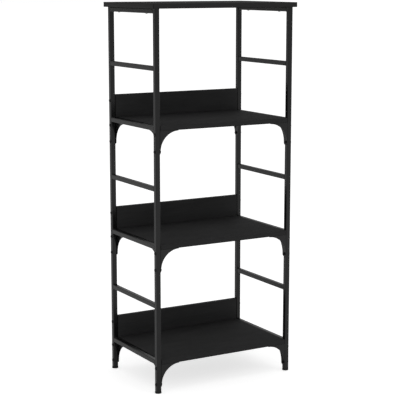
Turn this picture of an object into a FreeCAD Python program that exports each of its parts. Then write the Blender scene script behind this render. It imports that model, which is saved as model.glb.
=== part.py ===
import FreeCAD, Part
import math
import os

# A narrow open bookcase: two welded steel ladder sides, three shelves with low
# backboards, a top board, concave corner brackets under every shelf and four
# levelling feet. Millimetres. +X is to the right, +Y to the rear and +Z up.
# The origin is on the floor, under the middle of the bookcase.

Vector = FreeCAD.Vector
X_AXIS = Vector(1, 0, 0)
Y_AXIS = Vector(0, 1, 0)
Z_AXIS = Vector(0, 0, 1)

# Driving dimensions
TOP_WIDTH = 500.0
TOP_DEPTH = 328.0
END_OVERHANG = 10.0          # of the top board past the posts, at its left and right
FRONT_OVERHANG = 9.0         # and at its front and rear
BOARD = 15.0                 # thickness of every board
POST = 15.0                  # square tube of the posts
RAIL = 14.0                  # square tube of the rails and the rungs
TUBE_WALL = 1.2
TUBE_CORNER = 2.0            # outer corner radius of every tube
POST_BOTTOM = 6.0
POST_TOP = 1157.5
LOWEST_SHELF = 89.0          # underside of the lowest shelf
SHELF_PITCH = 356.5
RUNG_RISE = 175.5            # from a shelf's underside to its rung's underside
BACKBOARD_HEIGHT = 70.0
BOARD_GAP = 0.5              # between a board's end and the posts

# Corner brackets, bent from sheet
SHEET = 1.5
BRACKET_REACH = 62.0         # from the post to the tip of a wing
BRACKET_DROP = 70.0          # from the shelf's underside to the flange's lower end
SIDE_WING_LAND = 3.0         # narrowest width of the wing beside the rail
FLANGE_END_RADIUS = 6.0
BRACKET_BOLT_DROPS = (11.0, 62.0)

# Fasteners
BOLT_RADIUS = 2.5
BOLT_HOLE_RADIUS = 2.6
BOLT_HEAD_RADIUS = 5.0
BOLT_HEAD_HEIGHT = 1.6
BOLT_HEAD_EDGE = 0.6
SOCKET_ACROSS_FLATS = 3.0
SOCKET_DEPTH = 2.4
NUT_ACROSS_FLATS = 8.0
NUT_HEIGHT = 3.0
BOLT_TAIL = 1.0              # length of bolt past its nut
BACKBOARD_BOLT_DROP = 19.0   # below the backboard's top edge
BACKBOARD_BOLT_BITE = 10.5   # length of bolt past the post
INSERT_RADIUS = 4.0
INSERT_LENGTH = 12.0
SHELF_SCREW_RADIUS = 1.75
SHELF_SCREW_BITE = 11.0
SHELF_SCREW_INSET = (14.0, 22.0)   # from the post's inner face and the shelf's edge
TOP_SCREW_RADIUS = 2.0
TOP_SCREW_BITE = 11.0
TOP_SCREW_Y = 90.0
BACK_SCREW_RADIUS = 2.0
BACK_SCREW_BITE = 35.0
BACK_SCREW_X = 120.0
SCREW_HEAD_RADIUS = 3.6
SCREW_HEAD_HEIGHT = 2.0
SCREW_HOLE_SLACK = 0.2

# Levelling feet
PAD_RADIUS = 10.0
PAD_HEIGHT = 5.0
STUD_RADIUS = 3.0
STUD_TOP = 23.0              # below the lowest bracket bolts, which cross the posts
STUD_BASE_RADIUS = 4.5
STUD_BASE_BOTTOM = 1.6
STUD_BASE_HEIGHT = 1.5
STUD_TIP_CHAMFER = 0.6
PAD_EDGE_RADIUS = 0.8        # round the pad's lower edge
PAD_SHOULDER_RADIUS = 1.6    # round the pad's upper edge
RUNNING_GAP = 0.05           # between the stud and the pad or the threaded insert
PLUG_DEPTH = 14.0            # how far a foot insert goes up its post

# Derived dimensions
HALF_WIDTH = TOP_WIDTH / 2 - END_OVERHANG      # to the outer face of the posts
HALF_DEPTH = TOP_DEPTH / 2 - FRONT_OVERHANG
POST_X = HALF_WIDTH - POST / 2
POST_Y = HALF_DEPTH - POST / 2
INNER_X = HALF_WIDTH - POST                    # inner face of the posts
INNER_Y = HALF_DEPTH - POST
BOARD_END = INNER_X - BOARD_GAP
LEVELS = {
    "lower": LOWEST_SHELF,
    "middle": LOWEST_SHELF + SHELF_PITCH,
    "upper": LOWEST_SHELF + 2 * SHELF_PITCH,
}
SIDES = {"left": -1, "right": 1}
ENDS = {"front": -1, "rear": 1}
CORNERS = [(end, side) for end in ENDS for side in SIDES]


def block(x_range, y_range, z_range):
    """A box between three pairs of limits."""
    corner = Vector(min(x_range), min(y_range), min(z_range))
    size = [abs(limits[1] - limits[0]) for limits in (x_range, y_range, z_range)]
    return Part.makeBox(size[0], size[1], size[2], corner)


def bar(size, length, corner_radius):
    """A square bar along +Z with rounded long edges, centred on the Z axis."""
    half = size / 2
    solid = block((-half, half), (-half, half), (0, length))
    long_edges = [edge for edge in solid.Edges if abs(edge.tangentAt(0).z) > 0.9]
    return solid.makeFillet(corner_radius, long_edges)


def tube(size, length):
    """A square tube along +Z, open at both ends."""
    bore = bar(size - 2 * TUBE_WALL, length, TUBE_CORNER - TUBE_WALL)
    return bar(size, length, TUBE_CORNER).cut(bore)


def cross_tube(size, side, underside):
    """A tube between the posts of one side, flush with their outer faces."""
    solid = tube(size, 2 * INNER_Y)
    solid.rotate(Vector(0, 0, 0), X_AXIS, -90)
    solid.translate(Vector(side * (HALF_WIDTH - size / 2), -INNER_Y, underside + size / 2))
    return solid


def hexagon(across_flats, height):
    """A hexagonal prism along +Z."""
    radius = across_flats / math.sqrt(3)
    turns = [math.radians(60 * step) for step in range(7)]
    points = [Vector(radius * math.cos(turn), radius * math.sin(turn), 0) for turn in turns]
    return Part.Face(Part.makePolygon(points)).extrude(Z_AXIS * height)


def flat_plate(edges, depth):
    """A plate with the outline that the edges make, as thick as the vector."""
    return Part.Face(Part.Wire(Part.sortEdges(edges)[0])).extrude(depth)


def line(start, end):
    return Part.LineSegment(start, end).toShape()


def arc(start, middle, end):
    return Part.Arc(start, middle, end).toShape()


def along_x(solid, side, x, y, z):
    """Turn a solid made along +Z so that it points inwards along X from a side."""
    turned = solid.copy()
    turned.rotate(Vector(0, 0, 0), Y_AXIS, -90 * side)
    turned.translate(Vector(side * x, y, z))
    return turned


def bolt_places(side_ends=CORNERS):
    """Side, Y and Z of every bracket bolt."""
    places = []
    for end, side in side_ends:
        for underside in LEVELS.values():
            for drop in BRACKET_BOLT_DROPS:
                places.append((SIDES[side], ENDS[end] * POST_Y, underside - drop))
    return places


def backboard_bolt_places():
    """Side, Y and Z of every bolt that holds a backboard's end."""
    rise = BOARD + BACKBOARD_HEIGHT - BACKBOARD_BOLT_DROP
    heights = [underside + rise for underside in LEVELS.values()]
    return [(side, POST_Y, height) for side in SIDES.values() for height in heights]


def post(end, side):
    x_sign = SIDES[side]
    y_sign = ENDS[end]
    solid = tube(POST, POST_TOP - POST_BOTTOM)
    solid.translate(Vector(x_sign * POST_X, y_sign * POST_Y, POST_BOTTOM))
    places = bolt_places([(end, side)])
    if end == "rear":
        places += [place for place in backboard_bolt_places() if place[0] == x_sign]
    drill = Part.makeCylinder(BOLT_HOLE_RADIUS, POST)
    return solid.cut([along_x(drill, x_sign, HALF_WIDTH, y, z) for _, y, z in places])


def top_rail(side):
    solid = cross_tube(RAIL, side, POST_TOP - RAIL)
    drill = Part.makeCylinder(TOP_SCREW_RADIUS + SCREW_HOLE_SLACK, RAIL)
    for x, y in top_screw_places():
        if x * side > 0:
            solid = solid.cut(drill.translated(Vector(x, y, POST_TOP - RAIL)))
    return solid


def bracket_front_wing(underside):
    """The wing of the front left bracket that is flush with the post's front."""
    inner = -INNER_X
    face = -HALF_DEPTH
    tip = inner + BRACKET_REACH
    low = underside - BRACKET_REACH
    radius = BRACKET_REACH - SHEET
    slant = radius * math.sqrt(0.5)
    corner = Vector(inner, face, underside)
    tip_top = Vector(tip, face, underside)
    tip_bottom = Vector(tip, face, underside - SHEET)
    middle = Vector(tip - slant, face, low + slant)
    foot_inside = Vector(inner + SHEET, face, low)
    foot = Vector(inner, face, low)
    outline = [
        line(corner, tip_top),
        line(tip_top, tip_bottom),
        arc(tip_bottom, middle, foot_inside),
        line(foot_inside, foot),
        line(foot, corner),
    ]
    return flat_plate(outline, Y_AXIS * SHEET)


def bracket_side_wing(underside):
    """The wing that lies on the post's inner face and runs on beside the rail."""
    inner = -INNER_X
    front = -HALF_DEPTH
    tip = -INNER_Y + BRACKET_REACH
    land = -INNER_Y + SIDE_WING_LAND
    arc_level = underside - BRACKET_REACH
    bottom = underside - BRACKET_DROP
    radius = BRACKET_REACH - SIDE_WING_LAND
    slant = radius * math.sqrt(0.5)
    turn = FLANGE_END_RADIUS
    nook = turn * (1 - math.sqrt(0.5))
    corner = Vector(inner, front, underside)
    tip_top = Vector(inner, tip, underside)
    tip_bottom = Vector(inner, tip, underside - SIDE_WING_LAND)
    middle = Vector(inner, tip - slant, arc_level + slant)
    land_top = Vector(inner, land, arc_level)
    land_low = Vector(inner, land, bottom + turn)
    rear_bend = Vector(inner, land - nook, bottom + nook)
    rear_low = Vector(inner, land - turn, bottom)
    front_low = Vector(inner, front + turn, bottom)
    front_bend = Vector(inner, front + nook, bottom + nook)
    front_high = Vector(inner, front, bottom + turn)
    outline = [
        line(corner, tip_top),
        line(tip_top, tip_bottom),
        arc(tip_bottom, middle, land_top),
        line(land_top, land_low),
        arc(land_low, rear_bend, rear_low),
        line(rear_low, front_low),
        arc(front_low, front_bend, front_high),
        line(front_high, corner),
    ]
    return flat_plate(outline, X_AXIS * SHEET)


def bracket_tab(underside):
    """The level tab that the shelf lies on, between the two wings."""
    inner = -INNER_X
    front = -HALF_DEPTH
    x_tip = inner + BRACKET_REACH
    y_tip = -INNER_Y + BRACKET_REACH
    x_land = inner + SIDE_WING_LAND
    y_land = front + SIDE_WING_LAND
    bend = 1 - math.sqrt(0.5)
    middle = Vector(
        x_land + (x_tip - x_land) * bend,
        y_land + (y_tip - y_land) * bend,
        underside,
    )
    corner = Vector(inner, front, underside)
    front_tip = Vector(x_tip, front, underside)
    front_end = Vector(x_tip, y_land, underside)
    side_end = Vector(x_land, y_tip, underside)
    side_tip = Vector(inner, y_tip, underside)
    outline = [
        line(corner, front_tip),
        line(front_tip, front_end),
        arc(front_end, middle, side_end),
        line(side_end, side_tip),
        line(side_tip, corner),
    ]
    return flat_plate(outline, Z_AXIS * -SHEET)


def bracket(end, side, underside):
    """A corner bracket: it is made for the front left and mirrored from there."""
    solid = bracket_front_wing(underside)
    solid = solid.fuse([bracket_side_wing(underside), bracket_tab(underside)]).removeSplitter()
    drill = Part.makeCylinder(BOLT_HOLE_RADIUS, POST + 2 * SHEET)
    for drop in BRACKET_BOLT_DROPS:
        solid = solid.cut(along_x(drill, -1, HALF_WIDTH, -POST_Y, underside - drop))
    inset_x, inset_y = SHELF_SCREW_INSET
    hole_base = Vector(-INNER_X + inset_x, -HALF_DEPTH + inset_y, underside - SHEET)
    solid = solid.cut(Part.makeCylinder(SHELF_SCREW_RADIUS + SCREW_HOLE_SLACK, SHEET, hole_base))
    if SIDES[side] > 0:
        solid = solid.mirror(Vector(0, 0, 0), X_AXIS)
    if ENDS[end] > 0:
        solid = solid.mirror(Vector(0, 0, 0), Y_AXIS)
    return solid


def shelf_screw_places():
    """X, Y and underside of every screw through a bracket's tab."""
    inset_x, inset_y = SHELF_SCREW_INSET
    places = []
    for underside in LEVELS.values():
        for end, side in CORNERS:
            x = SIDES[side] * (INNER_X - inset_x)
            y = ENDS[end] * (HALF_DEPTH - inset_y)
            places.append((x, y, underside))
    return places


def shelf(underside):
    solid = block(
        (-BOARD_END, BOARD_END),
        (-HALF_DEPTH, HALF_DEPTH),
        (underside, underside + BOARD),
    )
    pilot = Part.makeCylinder(SHELF_SCREW_RADIUS, SHELF_SCREW_BITE)
    for x, y, level in shelf_screw_places():
        if level == underside:
            solid = solid.cut(pilot.translated(Vector(x, y, level)))
    for side in SIDES.values():
        base = Vector(side * BACK_SCREW_X, POST_Y, underside)
        solid = solid.cut(back_screw(base))
    return solid


def backboard(underside):
    top = underside + BOARD + BACKBOARD_HEIGHT
    solid = block(
        (-BOARD_END, BOARD_END),
        (HALF_DEPTH - BOARD, HALF_DEPTH),
        (underside + BOARD, top),
    )
    seat = Part.makeCylinder(INSERT_RADIUS, INSERT_LENGTH)
    for side in SIDES.values():
        solid = solid.cut(along_x(seat, side, BOARD_END, POST_Y, top - BACKBOARD_BOLT_DROP))
        solid = solid.cut(back_screw(Vector(side * BACK_SCREW_X, POST_Y, underside)))
    return solid


def top_board():
    solid = block(
        (-TOP_WIDTH / 2, TOP_WIDTH / 2),
        (-TOP_DEPTH / 2, TOP_DEPTH / 2),
        (POST_TOP, POST_TOP + BOARD),
    )
    pilot = Part.makeCylinder(TOP_SCREW_RADIUS, TOP_SCREW_BITE)
    for x, y in top_screw_places():
        solid = solid.cut(pilot.translated(Vector(x, y, POST_TOP)))
    return solid


def top_screw_places():
    """X and Y of every screw through a top rail."""
    x = HALF_WIDTH - RAIL / 2
    return [(side * x, end * TOP_SCREW_Y) for side in SIDES.values() for end in ENDS.values()]


def socket_bolt(length):
    """A bolt along +Z, its head below the XY plane, with a hexagonal socket."""
    head = Part.makeCylinder(BOLT_HEAD_RADIUS, BOLT_HEAD_HEIGHT, Vector(0, 0, -BOLT_HEAD_HEIGHT))
    rim = [edge for edge in head.Edges if abs(edge.BoundBox.ZMax + BOLT_HEAD_HEIGHT) < 0.01]
    head = head.makeFillet(BOLT_HEAD_EDGE, rim)
    socket = hexagon(SOCKET_ACROSS_FLATS, SOCKET_DEPTH)
    socket.translate(Vector(0, 0, -BOLT_HEAD_HEIGHT))
    return head.fuse(Part.makeCylinder(BOLT_RADIUS, length)).removeSplitter().cut(socket)


def pan_screw(radius, length, base):
    """A wood screw that points up, its head under the base point."""
    head = Part.makeCylinder(SCREW_HEAD_RADIUS, SCREW_HEAD_HEIGHT, base - Z_AXIS * SCREW_HEAD_HEIGHT)
    return head.fuse(Part.makeCylinder(radius, length, base)).removeSplitter()


def back_screw(base):
    """A countersunk screw that points up from a shelf's underside into its backboard."""
    head = Part.makeCone(SCREW_HEAD_RADIUS, BACK_SCREW_RADIUS, SCREW_HEAD_HEIGHT, base)
    shank = Part.makeCylinder(BACK_SCREW_RADIUS, BOARD + BACK_SCREW_BITE, base)
    return head.fuse(shank).removeSplitter()


def bracket_bolts():
    bolt = socket_bolt(POST + SHEET + NUT_HEIGHT + BOLT_TAIL)
    return [along_x(bolt, side, HALF_WIDTH, y, z) for side, y, z in bolt_places()]


def bracket_nuts():
    nut = hexagon(NUT_ACROSS_FLATS, NUT_HEIGHT).cut(Part.makeCylinder(BOLT_RADIUS, NUT_HEIGHT))
    return [along_x(nut, side, INNER_X - SHEET, y, z) for side, y, z in bolt_places()]


def backboard_bolts():
    bolt = socket_bolt(POST + BACKBOARD_BOLT_BITE)
    return [along_x(bolt, side, HALF_WIDTH, y, z) for side, y, z in backboard_bolt_places()]


def backboard_inserts():
    insert = Part.makeCylinder(INSERT_RADIUS, INSERT_LENGTH)
    insert = insert.cut(Part.makeCylinder(BOLT_RADIUS, INSERT_LENGTH))
    return [along_x(insert, side, BOARD_END, y, z) for side, y, z in backboard_bolt_places()]


def shelf_screws():
    length = SHEET + SHELF_SCREW_BITE
    bases = [Vector(x, y, underside - SHEET) for x, y, underside in shelf_screw_places()]
    return [pan_screw(SHELF_SCREW_RADIUS, length, base) for base in bases]


def backboard_screws():
    bases = [
        Vector(side * BACK_SCREW_X, POST_Y, underside)
        for underside in LEVELS.values()
        for side in SIDES.values()
    ]
    return [back_screw(base) for base in bases]


def top_board_screws():
    bases = [Vector(x, y, POST_TOP - RAIL) for x, y in top_screw_places()]
    return [pan_screw(TOP_SCREW_RADIUS, RAIL + TOP_SCREW_BITE, base) for base in bases]


def foot_insert():
    """The threaded plug in a post's lower end, on the Z axis."""
    flange = bar(POST, POST_BOTTOM - PAD_HEIGHT, TUBE_CORNER)
    flange.translate(Vector(0, 0, PAD_HEIGHT))
    plug = bar(POST - 2 * TUBE_WALL - 2 * RUNNING_GAP, PLUG_DEPTH, TUBE_CORNER - TUBE_WALL)
    plug.translate(Vector(0, 0, POST_BOTTOM))
    bore = Part.makeCylinder(STUD_RADIUS + RUNNING_GAP, POST_BOTTOM + PLUG_DEPTH)
    return flange.fuse(plug).removeSplitter().cut(bore)


def foot_stud():
    """The threaded stud, held by its base disc in the pad, on the Z axis."""
    base = Part.makeCylinder(STUD_BASE_RADIUS, STUD_BASE_HEIGHT, Vector(0, 0, STUD_BASE_BOTTOM))
    shank = Part.makeCylinder(STUD_RADIUS, STUD_TOP - STUD_BASE_BOTTOM, Vector(0, 0, STUD_BASE_BOTTOM))
    tip = [edge for edge in shank.Edges if edge.BoundBox.ZMin > STUD_TOP - 0.01]
    return base.fuse(shank.makeChamfer(STUD_TIP_CHAMFER, tip)).removeSplitter()


def quarter_round(radius, corner_z, inwards):
    """A quarter round of the pad's rim: inwards is 1 for the lower edge, -1 for the upper."""
    nook = radius * (1 - math.sqrt(0.5))
    flat_end = Vector(PAD_RADIUS - radius, 0, corner_z)
    middle = Vector(PAD_RADIUS - nook, 0, corner_z + inwards * nook)
    upright_end = Vector(PAD_RADIUS, 0, corner_z + inwards * radius)
    return arc(flat_end, middle, upright_end)


def foot_pad():
    """The round pad, turned from its half section, on the Z axis."""
    neck = STUD_RADIUS + RUNNING_GAP
    pocket = STUD_BASE_RADIUS + RUNNING_GAP
    floor = STUD_BASE_BOTTOM - RUNNING_GAP
    roof = STUD_BASE_BOTTOM + STUD_BASE_HEIGHT + RUNNING_GAP
    rim_low = PAD_EDGE_RADIUS
    rim_high = PAD_HEIGHT - PAD_SHOULDER_RADIUS
    outline = [
        line(Vector(0, 0, 0), Vector(PAD_RADIUS - PAD_EDGE_RADIUS, 0, 0)),
        quarter_round(PAD_EDGE_RADIUS, 0, 1),
        line(Vector(PAD_RADIUS, 0, rim_low), Vector(PAD_RADIUS, 0, rim_high)),
        quarter_round(PAD_SHOULDER_RADIUS, PAD_HEIGHT, -1),
        line(Vector(PAD_RADIUS - PAD_SHOULDER_RADIUS, 0, PAD_HEIGHT), Vector(neck, 0, PAD_HEIGHT)),
        line(Vector(neck, 0, PAD_HEIGHT), Vector(neck, 0, roof)),
        line(Vector(neck, 0, roof), Vector(pocket, 0, roof)),
        line(Vector(pocket, 0, roof), Vector(pocket, 0, floor)),
        line(Vector(pocket, 0, floor), Vector(0, 0, floor)),
        line(Vector(0, 0, floor), Vector(0, 0, 0)),
    ]
    section = Part.Face(Part.Wire(Part.sortEdges(outline)[0]))
    return section.revolve(Vector(0, 0, 0), Z_AXIS, 360)


def build():
    """Every node's name with its shape."""
    nodes = {"top_board": top_board()}
    for end, side in CORNERS:
        nodes[f"post_{end}_{side}"] = post(end, side)
    for side, sign in SIDES.items():
        nodes[f"top_rail_{side}"] = top_rail(sign)
        for name, underside in LEVELS.items():
            nodes[f"shelf_rail_{name}_{side}"] = cross_tube(RAIL, sign, underside)
            nodes[f"ladder_rung_{name}_{side}"] = cross_tube(RAIL, sign, underside + RUNG_RISE)
    for name, underside in LEVELS.items():
        nodes[f"shelf_{name}"] = shelf(underside)
        nodes[f"backboard_{name}"] = backboard(underside)
        for end, side in CORNERS:
            nodes[f"corner_bracket_{name}_{end}_{side}"] = bracket(end, side, underside)
    foot_pieces = {"foot_insert": foot_insert(), "foot_stud": foot_stud(), "foot_pad": foot_pad()}
    for end, side in CORNERS:
        place = Vector(SIDES[side] * POST_X, ENDS[end] * POST_Y, 0)
        for name, piece in foot_pieces.items():
            nodes[f"{name}_{end}_{side}"] = piece.translated(place)
    nodes["bracket_bolts"] = Part.Compound(bracket_bolts())
    nodes["bracket_nuts"] = Part.Compound(bracket_nuts())
    nodes["backboard_bolts"] = Part.Compound(backboard_bolts())
    nodes["backboard_inserts"] = Part.Compound(backboard_inserts())
    nodes["backboard_screws"] = Part.Compound(backboard_screws())
    nodes["shelf_screws"] = Part.Compound(shelf_screws())
    nodes["top_board_screws"] = Part.Compound(top_board_screws())
    return nodes


def write(nodes):
    os.makedirs("parts", exist_ok=True)
    for name, shape in nodes.items():
        if not shape.isValid():
            raise ValueError(f"{name} is not a valid shape")
        shape.exportStep(f"parts/{name}.step")
    print(len(nodes), "nodes,", sum(len(shape.Solids) for shape in nodes.values()), "solids")


write(build())
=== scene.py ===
import math

import bmesh
import bpy
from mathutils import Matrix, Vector


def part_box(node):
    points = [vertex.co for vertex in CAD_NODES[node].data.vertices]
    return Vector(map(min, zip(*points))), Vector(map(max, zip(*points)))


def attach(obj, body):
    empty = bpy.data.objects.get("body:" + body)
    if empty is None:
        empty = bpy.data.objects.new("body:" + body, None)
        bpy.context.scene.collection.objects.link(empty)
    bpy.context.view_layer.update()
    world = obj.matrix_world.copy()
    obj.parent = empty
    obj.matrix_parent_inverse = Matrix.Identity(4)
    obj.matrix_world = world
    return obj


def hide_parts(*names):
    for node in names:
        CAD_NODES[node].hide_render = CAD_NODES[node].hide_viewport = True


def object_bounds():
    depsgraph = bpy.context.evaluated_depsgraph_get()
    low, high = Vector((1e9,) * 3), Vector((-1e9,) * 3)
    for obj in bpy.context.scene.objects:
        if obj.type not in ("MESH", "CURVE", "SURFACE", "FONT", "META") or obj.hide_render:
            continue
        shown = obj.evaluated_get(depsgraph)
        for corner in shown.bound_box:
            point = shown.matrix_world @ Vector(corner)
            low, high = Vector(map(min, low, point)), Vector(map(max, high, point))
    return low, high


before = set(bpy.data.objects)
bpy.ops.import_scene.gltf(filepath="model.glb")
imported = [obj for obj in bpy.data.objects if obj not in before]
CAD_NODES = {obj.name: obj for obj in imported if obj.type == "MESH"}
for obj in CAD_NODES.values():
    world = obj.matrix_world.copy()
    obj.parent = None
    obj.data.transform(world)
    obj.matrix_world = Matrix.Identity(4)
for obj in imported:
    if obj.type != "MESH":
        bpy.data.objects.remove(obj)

# A narrow open bookcase in black: two steel ladder sides, laminated boards and levelling feet.
# Metres, +X to the right, +Y to the rear, +Z up, with the floor at z = 0.

CAD_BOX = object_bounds()
SCENE = bpy.context.scene
MM = 0.001
LEVELS = ("lower", "middle", "upper")
SIDES = ("left", "right")
ENDS = ("front", "rear")
CORNERS = [(end, side) for end in ENDS for side in SIDES]

# Colours
STEEL_DARK = (0.0032, 0.0032, 0.0034, 1)
STEEL_LIGHT = (0.0055, 0.0055, 0.0058, 1)
STEEL_WORN = (0.030, 0.030, 0.031, 1)
BOARD_DARK = (0.034, 0.034, 0.0345, 1)
BOARD_LIGHT = (0.042, 0.042, 0.0425, 1)
BOARD_WORN = (0.070, 0.070, 0.070, 1)
BAND_DARK = (0.026, 0.026, 0.0265, 1)
BAND_LIGHT = (0.034, 0.034, 0.0345, 1)
BOLT_DARK = (0.0060, 0.0060, 0.0064, 1)
BOLT_LIGHT = (0.0120, 0.0118, 0.0116, 1)
PLASTIC_DARK = (0.0070, 0.0070, 0.0072, 1)
PLASTIC_LIGHT = (0.0120, 0.0120, 0.0122, 1)
ZINC_DARK = (0.42, 0.42, 0.41, 1)
ZINC_LIGHT = (0.66, 0.66, 0.63, 1)
ZINC_WORN = (0.80, 0.80, 0.78, 1)
FLOOR_DARK = (0.90, 0.90, 0.90, 1)
FLOOR_LIGHT = (0.92, 0.92, 0.92, 1)
WHITE = (1, 1, 1, 1)

# Textures
MOST = (0.3, 0.7)               # the range that most of a noise's values lie in
BEVEL_SAMPLES = 4
EDGE_COSINES = (0.995, 0.86)    # of how far rounding turns a normal: unworn, fully worn
PATCH_NOISE = (0.42, 0.66)      # noise at which a worn patch starts and is complete

# CAD meshes
JOIN_DISTANCE = 0.002 * MM      # within which the vertices of neighbouring faces are one
SOFT_ANGLE = 38                 # degrees between two faces, above which their edge is rounded
PLUG_EDGE = 0.15 * MM
BRACKET_EDGE = 0.3 * MM
BOLT_EDGE = 0.12 * MM

# Boards
BAND_THICKNESS = 1.0 * MM
BAND_RADIUS = 0.8 * MM
PANEL_RADIUS = 0.22 * MM
SAME_PLACE = 0.001 * MM
EDGE_WORDS = {"x-": "left", "x+": "right", "y-": "front", "y+": "rear", "z+": "top"}

# Foot studs
STUD_RADIUS = 3.0 * MM
STUD_BASE_RADIUS = 4.5 * MM
STUD_BASE_TOP = 3.1 * MM
STUD_BASE_EDGE = 0.25 * MM
STUD_TIP_CHAMFER = 0.6 * MM
THREAD_PITCH = 1.0 * MM
THREAD_DEPTH = 0.55 * MM
THREAD_START = 5.4 * MM
THREAD_RELIEF = 0.3 * MM        # plain length of core under the thread
THREAD_ROWS = 8                 # rings of vertices in one turn
THREAD_STEPS = 28               # vertices in one ring
THREAD_GAIN = 1.25              # these two leave flats on the thread's crests and roots
THREAD_LAND = 0.12

# Screws
SCREW_HEAD_HEIGHT = 2.0 * MM
DOME_RISE = 0.9 * MM
DOME_POWER = 2.4                # of the radius, for how a dome falls off from its middle
DOME_RIM = 1.15                 # from the dome's top to its rim, as a share of its rise
FLAT_RIM = 0.15 * MM
DOME_SHANK = 1.75 * MM
FLAT_SHANK = 2.0 * MM
SCREW_POINT = 1.5 * MM
SCREW_TIP_RADIUS = 0.3 * MM
SCREW_STEPS = 48
RECESS_ARM = 0.62 * MM          # half the width of a cross recess's arm
RECESS_REACH = 0.62             # of the head's radius
RECESS_DEPTH = 1.2 * MM
RECESS_SLOPE = 0.3              # share of the arm, and of the head, that its walls take up
# Radii of the rings in a screw's head, as shares of its own
HEAD_SHARES = (0.04, 0.14, 0.24, 0.34, 0.44, 0.54, 0.62, 0.70, 0.80, 0.90, 0.97)

# Weld beads
TUBE_CORNER = 2.0 * MM
CORNER_STEPS = 9
BEAD_RADIUS = 1.1 * MM
BEAD_OFFSET = 0.15 * MM         # of its centre from the tube and from the post
BEAD_STEP = 0.36 * MM
BEAD_SIDES = 10
BEAD_END = 0.35                 # share of its size that a bead has at its ends
BEAD_GROWTH = 0.16              # and gains with each step from them
RIPPLE_HEIGHT = 0.16 * MM
RIPPLE_LENGTH = 1.5 * MM
WANDER_HEIGHT = 0.08 * MM       # slow change of a bead's size along it
WANDER_RATE = 1.7 / MM
WANDER_PHASE = 3.1
TUBE_PHASE = 0.9                # these three make every bead's ripples differ
END_PHASE = 0.5
RUN_PHASE = 1.3
TOPWARD = 0.5                   # upward part of a direction, above which it's the tube's top

# Light: radiance of the room, by height and from rear to front
REAR_LIGHT = 0.05
FRONT_LIGHT = 0.34
CEILING_LIGHT = 0.50
WALL_TURN = (0.5, -0.8)         # a direction's rearward part, at the rear wall and at the front
WALL_RISE = (0.08, 0.28)        # its upward part, at the walls' top and at the ceiling
FLOOR_SIZE = 60.0
FLOOR_GLOW = 0.08               # what the floor adds as a light
FLOOR_SEEN = 0.68               # and what it adds to the camera's own view of it

# Camera
SENSOR_WIDTH = 36.0
LENS = 113.3
HEADING = 30.1                  # degrees from +Y towards +X
DROP = 9.9                      # degrees below level
DISTANCE = 3.98
AIM_HEIGHT = 0.4725             # of the object's height
FAR_LIMIT = 200.0


def smooth_range(tree, value, span, out):
    """A value taken smoothly from one range to another, whose ends may be nodes' outputs."""
    node = tree.nodes.new("ShaderNodeMapRange")
    node.interpolation_type = "SMOOTHSTEP"
    names = ("From Min", "From Max", "To Min", "To Max")
    for name, end in zip(names, (*span, *out)):
        if isinstance(end, (int, float)):
            node.inputs[name].default_value = end
        else:
            tree.links.new(end, node.inputs[name])
    tree.links.new(value, node.inputs["Value"])
    return node.outputs["Result"]


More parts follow.
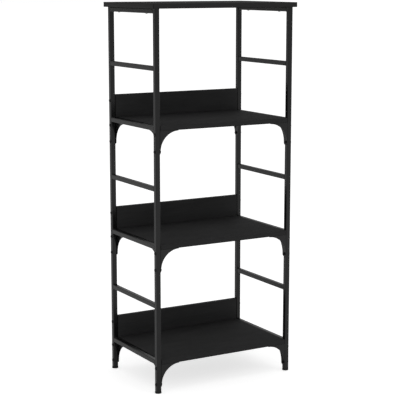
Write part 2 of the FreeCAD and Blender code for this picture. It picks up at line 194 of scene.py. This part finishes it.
class Surface:
    """A material's node tree, with short ways to add the nodes that are used here."""

    def __init__(self, name):
        self.material = bpy.data.materials.new(name)
        self.material.use_nodes = True
        self.tree = self.material.node_tree
        self.shader = self.tree.nodes["Principled BSDF"]
        self.place = self.add("ShaderNodeTexCoord").outputs["Object"]

    def link(self, source, target):
        self.tree.links.new(source, target)

    def add(self, kind, **sockets):
        node = self.tree.nodes.new(kind)
        for name, value in sockets.items():
            node.inputs[name].default_value = value
        return node

    def stretched(self, *scale):
        """Object coordinates, scaled by a different amount on each axis."""
        node = self.add("ShaderNodeMapping", Scale=scale)
        self.link(self.place, node.inputs["Vector"])
        return node.outputs["Vector"]

    def noise(self, scale, detail=2.0, rough=0.5, where=None):
        node = self.add("ShaderNodeTexNoise", Scale=scale, Detail=detail, Roughness=rough)
        self.link(where or self.place, node.inputs["Vector"])
        return node.outputs["Fac"]

    def ramp(self, value, span, out=(0.0, 1.0)):
        return smooth_range(self.tree, value, span, out)

    def math(self, operation, first, second):
        node = self.add("ShaderNodeMath")
        node.operation = operation
        for socket, value in zip(node.inputs, (first, second)):
            if isinstance(value, (int, float)):
                socket.default_value = value
            else:
                self.link(value, socket)
        return node.outputs["Value"]

    def mix(self, factor, first, second):
        """A colour between two, each a colour or another node's output."""
        node = self.add("ShaderNodeMix")
        node.data_type = "RGBA"
        self.link(factor, node.inputs["Factor"])
        for name, value in zip("AB", (first, second)):
            socket = next(i for i in node.inputs if i.name == name and i.type == "RGBA")
            if isinstance(value, tuple):
                socket.default_value = value
            else:
                self.link(value, socket)
        return next(o for o in node.outputs if o.type == "RGBA")

    def worn_edges(self, radius, scale):
        """1 on sharp edges, in patches, and 0 away from them."""
        bevel = self.add("ShaderNodeBevel", Radius=radius)
        bevel.samples = BEVEL_SAMPLES
        geometry = self.add("ShaderNodeNewGeometry")
        turn = self.add("ShaderNodeVectorMath")
        turn.operation = "DOT_PRODUCT"
        self.link(bevel.outputs["Normal"], turn.inputs[0])
        self.link(geometry.outputs["Normal"], turn.inputs[1])
        edge = self.ramp(turn.outputs["Value"], EDGE_COSINES)
        patches = self.ramp(self.noise(scale, detail=3.0, rough=0.6), PATCH_NOISE)
        return self.math("MULTIPLY", edge, patches)

    def rub(self, color, worn, radius, scale, share):
        """A colour that turns to a share of another where its edges are worn."""
        wear = self.math("MULTIPLY", self.worn_edges(radius, scale), share)
        return self.mix(wear, color, worn)

    def bump(self, height, distance, under=None):
        node = self.add("ShaderNodeBump", Distance=distance)
        self.link(height, node.inputs["Height"])
        if under is not None:
            self.link(under, node.inputs["Normal"])
        return node.outputs["Normal"]

    def finish(self, color, roughness, normal, specular, metallic=0.0):
        self.link(color, self.shader.inputs["Base Color"])
        self.link(roughness, self.shader.inputs["Roughness"])
        self.link(normal, self.shader.inputs["Normal"])
        self.shader.inputs["Specular IOR Level"].default_value = specular
        self.shader.inputs["Metallic"].default_value = metallic
        return self.material


def powder_coat():
    """Glossy black powder coat: a fine orange peel with small pits, rubbed a little on edges."""
    s = Surface("powder_coat")
    cloud = s.ramp(s.noise(24, detail=3.0, rough=0.55), MOST)
    peel = s.noise(620, rough=0.45)
    pits = s.noise(2600, detail=1.0)
    color = s.mix(cloud, STEEL_DARK, STEEL_LIGHT)
    color = s.rub(color, STEEL_WORN, radius=0.7 * MM, scale=55, share=0.55)
    roughness = s.ramp(peel, MOST, (0.17, 0.23))
    roughness = s.math("ADD", roughness, s.ramp(cloud, (0.0, 1.0), (0.0, 0.03)))
    normal = s.bump(peel, 0.05 * MM)
    normal = s.bump(pits, 0.012 * MM, normal)
    return s.finish(color, roughness, normal, specular=0.5)


def laminate():
    """Black melamine film with a faint pressed grain along X."""
    s = Surface("black_laminate")
    cloud = s.noise(9, detail=3.0, rough=0.6, where=s.stretched(1.0, 3.0, 3.0))
    grain = s.noise(1.0, detail=5.0, rough=0.62, where=s.stretched(14, 420, 420))
    pores = s.ramp(s.noise(1.0, where=s.stretched(55, 1500, 1500)), (0.50, 0.72))
    fine = s.noise(1900, detail=1.0)
    tone = s.math("ADD", s.math("MULTIPLY", cloud, 0.5), s.math("MULTIPLY", grain, 0.5))
    color = s.mix(s.ramp(tone, (0.36, 0.64)), BOARD_DARK, BOARD_LIGHT)
    color = s.rub(color, BOARD_WORN, radius=0.8 * MM, scale=40, share=0.4)
    roughness = s.ramp(grain, MOST, (0.60, 0.70))
    roughness = s.math("ADD", roughness, s.math("MULTIPLY", pores, 0.06))
    normal = s.bump(grain, 0.030 * MM)
    normal = s.bump(s.math("SUBTRACT", 1.0, pores), 0.020 * MM, normal)
    normal = s.bump(fine, 0.008 * MM, normal)
    return s.finish(color, roughness, normal, specular=0.04)


def edge_band():
    """The plastic band on a board's edges, a little smoother and darker than its faces."""
    s = Surface("edge_band")
    streaks = s.noise(1.0, detail=4.0, rough=0.6, where=s.stretched(30, 240, 700))
    color = s.mix(s.ramp(streaks, (0.32, 0.68)), BAND_DARK, BAND_LIGHT)
    color = s.rub(color, BOARD_WORN, radius=0.7 * MM, scale=60, share=0.5)
    roughness = s.ramp(streaks, MOST, (0.45, 0.55))
    normal = s.bump(streaks, 0.015 * MM)
    normal = s.bump(s.noise(1500, detail=1.0), 0.008 * MM, normal)
    return s.finish(color, roughness, normal, specular=0.10)


def black_oxide():
    """Blackened steel of the bolts and nuts: oily and uneven, brighter where a key rubs."""
    s = Surface("black_oxide")
    mottle = s.noise(380, detail=4.0, rough=0.65)
    color = s.mix(s.ramp(mottle, (0.35, 0.7)), BOLT_DARK, BOLT_LIGHT)
    color = s.rub(color, STEEL_WORN, radius=0.4 * MM, scale=180, share=0.8)
    roughness = s.ramp(mottle, MOST, (0.28, 0.42))
    normal = s.bump(mottle, 0.012 * MM)
    return s.finish(color, roughness, normal, specular=0.22)


def moulded_plastic():
    """Black polypropylene with a fine spark-eroded texture."""
    s = Surface("moulded_plastic")
    cloud = s.noise(70)
    grit = s.noise(3200, rough=0.6)
    color = s.mix(s.ramp(cloud, (0.35, 0.65)), PLASTIC_DARK, PLASTIC_LIGHT)
    color = s.rub(color, BOARD_WORN, radius=0.6 * MM, scale=120, share=0.5)
    roughness = s.ramp(grit, MOST, (0.42, 0.55))
    normal = s.bump(grit, 0.02 * MM)
    return s.finish(color, roughness, normal, specular=0.32)


def zinc_plate():
    """Bright zinc with faint turning marks, brighter on its edges."""
    s = Surface("zinc_plate")
    spangle = s.noise(260, detail=4.0, rough=0.6)
    marks = s.noise(1.0, where=s.stretched(300, 300, 5200))
    color = s.mix(s.ramp(spangle, MOST), ZINC_DARK, ZINC_LIGHT)
    color = s.rub(color, ZINC_WORN, radius=0.3 * MM, scale=200, share=1.0)
    roughness = s.ramp(spangle, MOST, (0.26, 0.42))
    normal = s.bump(marks, 0.01 * MM)
    return s.finish(color, roughness, normal, specular=0.5, metallic=1.0)


def coated_weld():
    """The powder coat over a weld, duller and more uneven than on the tubes."""
    s = Surface("coated_weld")
    mottle = s.noise(900, detail=3.0, rough=0.6)
    color = s.mix(s.ramp(mottle, (0.35, 0.7)), STEEL_DARK, STEEL_LIGHT)
    roughness = s.ramp(mottle, MOST, (0.34, 0.46))
    normal = s.bump(mottle, 0.04 * MM)
    return s.finish(color, roughness, normal, specular=0.30)


COAT = powder_coat()
LAMINATE = laminate()
BAND = edge_band()
OXIDE = black_oxide()
PLASTIC = moulded_plastic()
ZINC = zinc_plate()
WELD = coated_weld()


def repaint(node, material):
    """Gives a CAD node its finish, without touching its mesh."""
    piece = CAD_NODES[node]
    if not piece.material_slots:
        piece.data.materials.append(material)
    for slot in piece.material_slots:
        slot.link = "OBJECT"
        slot.material = material


def soften(node, width):
    """Rounds a CAD node's sharp edges by modifiers."""
    piece = CAD_NODES[node]
    weld = piece.modifiers.new("join_faces", "WELD")
    weld.merge_threshold = JOIN_DISTANCE
    bevel = piece.modifiers.new("soft_edges", "BEVEL")
    bevel.width = width
    bevel.segments = 2
    bevel.limit_method = "ANGLE"
    bevel.angle_limit = math.radians(SOFT_ANGLE)
    bevel.harden_normals = True
    bevel.use_clamp_overlap = True


def show(name, bm, material, body, sharp=32):
    """Makes a bmesh a piece that rides on a body, with edges sharp above an angle in degrees."""
    bm.normal_update()
    bmesh.ops.recalc_face_normals(bm, faces=bm.faces)
    mesh = bpy.data.meshes.new(name)
    bm.to_mesh(mesh)
    bm.free()
    mesh.polygons.foreach_set("use_smooth", [True] * len(mesh.polygons))
    mesh.set_sharp_from_angle(angle=math.radians(sharp))
    mesh.materials.append(material)
    piece = bpy.data.objects.new(name, mesh)
    SCENE.collection.objects.link(piece)
    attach(piece, body)
    return piece


def rounded_box(bm, low, high, radius, keep, segments=3):
    """A box whose edges are rounded where keep(middle of the edge) is true."""
    corners = {}
    for i in (0, 1):
        for j in (0, 1):
            for k in (0, 1):
                place = ((low, high)[i].x, (low, high)[j].y, (low, high)[k].z)
                corners[i, j, k] = bm.verts.new(place)
    faces = []
    for axis in range(3):
        for end in (0, 1):
            loop = []
            for first, second in ((0, 0), (1, 0), (1, 1), (0, 1)):
                key = [first, second]
                key.insert(axis, end)
                loop.append(corners[tuple(key)])
            faces.append(bm.faces.new(loop))
    edges = {edge for face in faces for edge in face.edges}
    chosen = [edge for edge in edges if keep((edge.verts[0].co + edge.verts[1].co) / 2)]
    bmesh.ops.bevel(
        bm, geom=chosen, offset=radius, segments=segments, profile=0.5,
        affect="EDGES", clamp_overlap=True,
    )


def side_of(edge):
    """The axis that an edge such as "y-" lies across, and whether it is the higher one."""
    return "xyz".index(edge[0]), edge[1] == "+"


def trimmed(low, high, edges):
    """A box's corners, taken in by a band's thickness on its named edges."""
    low = low.copy()
    high = high.copy()
    for edge in edges:
        axis, higher = side_of(edge)
        if higher:
            high[axis] -= BAND_THICKNESS
        else:
            low[axis] += BAND_THICKNESS
    return low, high


def board(node, banded):
    """A laminated board in place of a plain CAD one: a panel, and bands on its named edges."""
    low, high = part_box(node)
    panel_low, panel_high = trimmed(low, high, banded)
    bm = bmesh.new()
    rounded_box(bm, panel_low, panel_high, PANEL_RADIUS, lambda middle: True, segments=2)
    panel = show(node + "_panel", bm, LAMINATE, "frame")
    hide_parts(node)
    for edge in banded:
        axis, higher = side_of(edge)
        # The bands on the ends fit between the others.
        others = [other for other in banded if edge[0] == "x" and other[0] != "x"]
        band_low, band_high = trimmed(low, high, others)
        if higher:
            outer = high[axis]
            band_low[axis] = outer - BAND_THICKNESS
        else:
            outer = low[axis]
            band_high[axis] = outer + BAND_THICKNESS
        bm = bmesh.new()
        rounded_box(
            bm, band_low, band_high, BAND_RADIUS,
            lambda middle: abs(middle[axis] - outer) < SAME_PLACE,
        )
        show(f"{node}_band_{EDGE_WORDS[edge]}", bm, BAND, "frame")


def islands(node):
    """The lowest and highest corners of each separate solid in a CAD node."""
    bm = bmesh.new()
    bm.from_mesh(CAD_NODES[node].data)
    bmesh.ops.remove_doubles(bm, verts=bm.verts, dist=JOIN_DISTANCE)
    seen = set()
    boxes = []
    for start in bm.verts:
        if start in seen:
            continue
        group = [start]
        seen.add(start)
        for vert in group:
            for edge in vert.link_edges:
                other = edge.other_vert(vert)
                if other not in seen:
                    seen.add(other)
                    group.append(other)
        low = Vector([min(v.co[i] for v in group) for i in range(3)])
        high = Vector([max(v.co[i] for v in group) for i in range(3)])
        boxes.append((low, high))
    bm.free()
    return boxes


def skin(bm, loops):
    """A closed solid over loops of vertices, each with the same number of them."""
    steps = len(loops[0])
    for first, second in zip(loops, loops[1:]):
        for step in range(steps):
            following = (step + 1) % steps
            bm.faces.new((first[step], first[following], second[following], second[step]))
    bm.faces.new(loops[0][::-1])
    bm.faces.new(loops[-1])


def lathe(bm, rings, steps, centre):
    """A closed solid from rings of (radius, z), or of functions of the angle that give them."""
    loops = []
    for ring in rings:
        loop = []
        for step in range(steps):
            angle = 2 * math.pi * step / steps
            radius, z = ring(angle) if callable(ring) else ring
            loop.append(bm.verts.new((
                centre.x + radius * math.cos(angle),
                centre.y + radius * math.sin(angle),
                z,
            )))
        loops.append(loop)
    skin(bm, loops)


def within_unit(value):
    return min(1.0, max(0.0, value))


def threaded_stud(end, side):
    """A foot's stud with its real right-hand thread and the disc that the pad holds."""
    node = f"foot_stud_{end}_{side}"
    low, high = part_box(node)
    core = STUD_RADIUS - THREAD_DEPTH
    rings = [
        (STUD_BASE_RADIUS - STUD_BASE_EDGE, low.z),
        (STUD_BASE_RADIUS, low.z + STUD_BASE_EDGE),
        (STUD_BASE_RADIUS, STUD_BASE_TOP - STUD_BASE_EDGE),
        (STUD_BASE_RADIUS - STUD_BASE_EDGE, STUD_BASE_TOP),
        (core, STUD_BASE_TOP),
        (core, THREAD_START - THREAD_RELIEF),
    ]
    rows = round((high.z - THREAD_START) / THREAD_PITCH * THREAD_ROWS)
    for row in range(rows):
        z = THREAD_START + row * THREAD_PITCH / THREAD_ROWS

        def ring(angle, z=z):
            phase = (z / THREAD_PITCH - angle / (2 * math.pi)) % 1
            groove = within_unit(THREAD_GAIN * (1 - abs(2 * phase - 1)) - THREAD_LAND)
            run_in = min(1.0, (z - THREAD_START) / THREAD_PITCH)
            crest = STUD_RADIUS - THREAD_DEPTH * (1 - run_in)
            crest -= max(0.0, z - (high.z - STUD_TIP_CHAMFER))
            return min(crest, STUD_RADIUS - THREAD_DEPTH * groove), z

        rings.append(ring)
    rings.append((core - STUD_TIP_CHAMFER / 2, high.z))
    bm = bmesh.new()
    lathe(bm, rings, THREAD_STEPS, (low + high) / 2)
    piece = show(f"threaded_stud_{end}_{side}", bm, ZINC, f"foot_stud_{end}_{side}", sharp=50)
    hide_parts(node)


def screw(bm, low, high, dome):
    """A screw pointing up, with a domed or flat head and a cross recess in it."""
    head_radius = (high.x - low.x) / 2
    rise = DOME_RISE if dome else 0.0
    shank = DOME_SHANK if dome else FLAT_SHANK
    rim = DOME_RIM * rise if dome else FLAT_RIM

    def head_ring(share):
        radius = share * head_radius

        def ring(angle):
            x = abs(radius * math.cos(angle))
            y = abs(radius * math.sin(angle))
            inside = within_unit((RECESS_ARM - min(x, y)) / (RECESS_SLOPE * RECESS_ARM))
            inside *= within_unit((RECESS_REACH - share) / RECESS_SLOPE)
            return radius, low.z + rise * share ** DOME_POWER + RECESS_DEPTH * inside

        return ring

    rings = [head_ring(share) for share in HEAD_SHARES]
    rings.append((head_radius, low.z + rim))
    if dome:
        rings.append((head_radius, low.z + SCREW_HEAD_HEIGHT))
    rings.append((shank, low.z + SCREW_HEAD_HEIGHT))
    rings.append((shank, high.z - SCREW_POINT))
    rings.append((SCREW_TIP_RADIUS, high.z))
    lathe(bm, rings, SCREW_STEPS, (low + high) / 2)


def screws(node, dome):
    """Every screw of a CAD group, with real heads."""
    bm = bmesh.new()
    for low, high in islands(node):
        screw(bm, low, high, dome)
    piece = show(node + "_cross_head", bm, ZINC, "frame", sharp=40)
    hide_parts(node)


def bead_runs(low, high, side, inner_face):
    """Where beads run round a tube's section in XZ, as lists of (point, outward direction).

    One run goes under the tube, up its inner face and over it. Where a board covers the inner
    face, one run goes under the tube and another over it.
    """
    inwards = 1 if side == "left" else -1
    outer, inner = (low.x, high.x) if side == "left" else (high.x, low.x)
    start = outer + inwards * TUBE_CORNER
    turn = inner - inwards * TUBE_CORNER
    width = abs(turn - start)
    height = high.z - low.z - 2 * TUBE_CORNER
    up = Vector((0, 0, 1))
    inward = Vector((inwards, 0, 0))

    def straight(x, z, along, length, way):
        count = int(length / BEAD_STEP) + 1
        return [(Vector((x, 0, z)) + along * step * BEAD_STEP, way) for step in range(count)]

    def corner(z, first_way, last_way):
        run = []
        for step in range(1, CORNER_STEPS):
            angle = math.radians(90) * step / CORNER_STEPS
            way = first_way * math.cos(angle) + last_way * math.sin(angle)
            run.append((Vector((turn, 0, z)) + way * TUBE_CORNER, way))
        return run

    under = straight(start, low.z, inward, width, -up)
    if not inner_face:
        return [under, straight(start, high.z, inward, width, up)]
    beside = corner(low.z + TUBE_CORNER, -up, inward)
    beside += straight(inner, low.z + TUBE_CORNER, up, height, inward)
    beside += corner(high.z - TUBE_CORNER, inward, up)
    return [under + beside + straight(turn, high.z, -inward, width, up)]


def bead(bm, run, seam_y, away, phase):
    """A rippled weld bead in the corner between a post's face and a tube."""
    out = Vector((0, away, 0))
    seam = Vector((0, seam_y, 0)) + out * BEAD_OFFSET
    loops = []
    for index, (point, way) in enumerate(run):
        along = index * BEAD_STEP
        ripple = abs(math.sin(math.pi * along / RIPPLE_LENGTH + phase))
        size = BEAD_RADIUS + RIPPLE_HEIGHT * (ripple - 0.5)
        size += WANDER_HEIGHT * math.sin(WANDER_PHASE * phase + WANDER_RATE * along)
        from_end = min(index, len(run) - 1 - index)
        size *= min(1.0, BEAD_END + BEAD_GROWTH * from_end)
        hub = point + seam + way * BEAD_OFFSET
        loop = []
        for step in range(BEAD_SIDES):
            angle = 2 * math.pi * step / BEAD_SIDES
            loop.append(bm.verts.new(hub + (way * math.cos(angle) + out * math.sin(angle)) * size))
        loops.append(loop)
    skin(bm, loops)


def welds(side):
    """The weld beads of one ladder side, at both ends of each of its cross tubes."""
    bm = bmesh.new()
    tubes = [(f"top_rail_{side}", True)]
    for level in LEVELS:
        tubes.append((f"ladder_rung_{level}_{side}", True))
        tubes.append((f"shelf_rail_{level}_{side}", False))
    for tube, (node, inner_face) in enumerate(tubes):
        low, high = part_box(node)
        for seam_y, away in ((low.y, 1), (high.y, -1)):
            for number, run in enumerate(bead_runs(low, high, side, inner_face)):
                if node.startswith("top_rail"):
                    # The top board covers the rail's top.
                    run = [(point, way) for point, way in run if way.z < TOPWARD]
                phase = TUBE_PHASE * tube + END_PHASE * away + RUN_PHASE * number
                bead(bm, run, seam_y, away, phase)
    show(f"weld_beads_{side}", bm, WELD, "frame", sharp=60)


# The steel, bolts, nuts, inserts and foot parts keep their CAD shapes. Only the studs are built
# again, with their threads.
for end, side in CORNERS:
    repaint(f"post_{end}_{side}", COAT)
    repaint(f"foot_pad_{end}_{side}", PLASTIC)
    repaint(f"foot_insert_{end}_{side}", PLASTIC)
    soften(f"foot_insert_{end}_{side}", PLUG_EDGE)
    threaded_stud(end, side)
for side in SIDES:
    repaint(f"top_rail_{side}", COAT)
    for level in LEVELS:
        repaint(f"shelf_rail_{level}_{side}", COAT)
        repaint(f"ladder_rung_{level}_{side}", COAT)
    welds(side)
for level in LEVELS:
    for end, side in CORNERS:
        repaint(f"corner_bracket_{level}_{end}_{side}", COAT)
        soften(f"corner_bracket_{level}_{end}_{side}", BRACKET_EDGE)
for name in ("bracket_bolts", "bracket_nuts", "backboard_bolts"):
    repaint(name, OXIDE)
    soften(name, BOLT_EDGE)
repaint("backboard_inserts", ZINC)

# The boards and the screws are built again in more detail.
board("top_board", ("x-", "x+", "y-", "y+"))
for level in LEVELS:
    board(f"shelf_{level}", ("x-", "x+", "y-", "y+"))
    board(f"backboard_{level}", ("x-", "x+", "z+"))
screws("shelf_screws", dome=True)
screws("top_board_screws", dome=True)
screws("backboard_screws", dome=False)


def floor():
    """A pale floor that the camera sees as nearly white."""
    size = FLOOR_SIZE
    mesh = bpy.data.meshes.new("studio_floor")
    corners = [(-size, -size, 0), (size, -size, 0), (size, size, 0), (-size, size, 0)]
    mesh.from_pydata(corners, [], [(0, 1, 2, 3)])
    s = Surface("pale_floor")
    color = s.mix(s.ramp(s.noise(1.4), MOST), FLOOR_DARK, FLOOR_LIGHT)
    roughness = s.ramp(s.noise(40), MOST, (0.72, 0.82))
    normal = s.bump(s.noise(300), 0.02 * MM)
    to_camera = s.add("ShaderNodeLightPath").outputs["Is Camera Ray"]
    glow = s.ramp(to_camera, (0, 1), (FLOOR_GLOW, FLOOR_SEEN))
    s.link(glow, s.shader.inputs["Emission Strength"])
    s.shader.inputs["Emission Color"].default_value = WHITE
    mesh.materials.append(s.finish(color, roughness, normal, specular=0.05))
    piece = bpy.data.objects.new("studio_floor", mesh)
    SCENE.collection.objects.link(piece)


def studio():
    """A soft room, bright overhead, dimmer in front, dimmest behind, and white to the camera."""
    world = bpy.data.worlds.new("studio")
    world.use_nodes = True
    tree = world.node_tree
    sky = tree.nodes["Background"]
    way = tree.nodes.new("ShaderNodeSeparateXYZ")
    coordinates = tree.nodes.new("ShaderNodeTexCoord")
    tree.links.new(coordinates.outputs["Generated"], way.inputs["Vector"])
    wall = smooth_range(tree, way.outputs["Y"], WALL_TURN, (REAR_LIGHT, FRONT_LIGHT))
    room = smooth_range(tree, way.outputs["Z"], WALL_RISE, (wall, CEILING_LIGHT))
    to_camera = tree.nodes.new("ShaderNodeLightPath").outputs["Is Camera Ray"]
    seen = tree.nodes.new("ShaderNodeMix")
    tree.links.new(to_camera, seen.inputs["Factor"])
    tree.links.new(room, seen.inputs["A"])
    seen.inputs["B"].default_value = 1.0
    tree.links.new(seen.outputs["Result"], sky.inputs["Strength"])
    sky.inputs["Color"].default_value = WHITE
    SCENE.world = world


def softbox(name, place, target, size, power):
    """A square area light of a size in metres and a power in watts, turned to a target."""
    light = bpy.data.lights.new(name, "AREA")
    light.shape = "SQUARE"
    light.size = size
    light.energy = power
    lamp = bpy.data.objects.new(name, light)
    lamp.location = place
    way = Vector(target) - Vector(place)
    lamp.rotation_euler = way.to_track_quat("-Z", "Y").to_euler()
    SCENE.collection.objects.link(lamp)


def camera():
    """A long lens, a little higher than the top board and left of the front, looking down."""
    lens = bpy.data.cameras.new("camera")
    lens.sensor_width = SENSOR_WIDTH
    lens.lens = LENS
    lens.clip_end = FAR_LIMIT
    heading = math.radians(HEADING)
    drop = math.radians(DROP)
    aim = Vector((0, 0, AIM_HEIGHT * CAD_BOX[1].z))
    way = Vector((
        math.sin(heading) * math.cos(drop),
        math.cos(heading) * math.cos(drop),
        -math.sin(drop),
    ))
    eye = bpy.data.objects.new("camera", lens)
    eye.location = aim - way * DISTANCE
    eye.rotation_euler = way.to_track_quat("-Z", "Y").to_euler()
    SCENE.collection.objects.link(eye)
    SCENE.camera = eye


floor()
studio()
softbox("overhead_softbox", place=(0.0, -0.3, 4.5), target=(0, 0, 0.6), size=3.0, power=6.0)
softbox("front_softbox", place=(1.8, -3.2, 2.6), target=(1.2, -2.2, 0), size=2.4, power=11.0)
camera()
SCENE.view_settings.view_transform = "Standard"
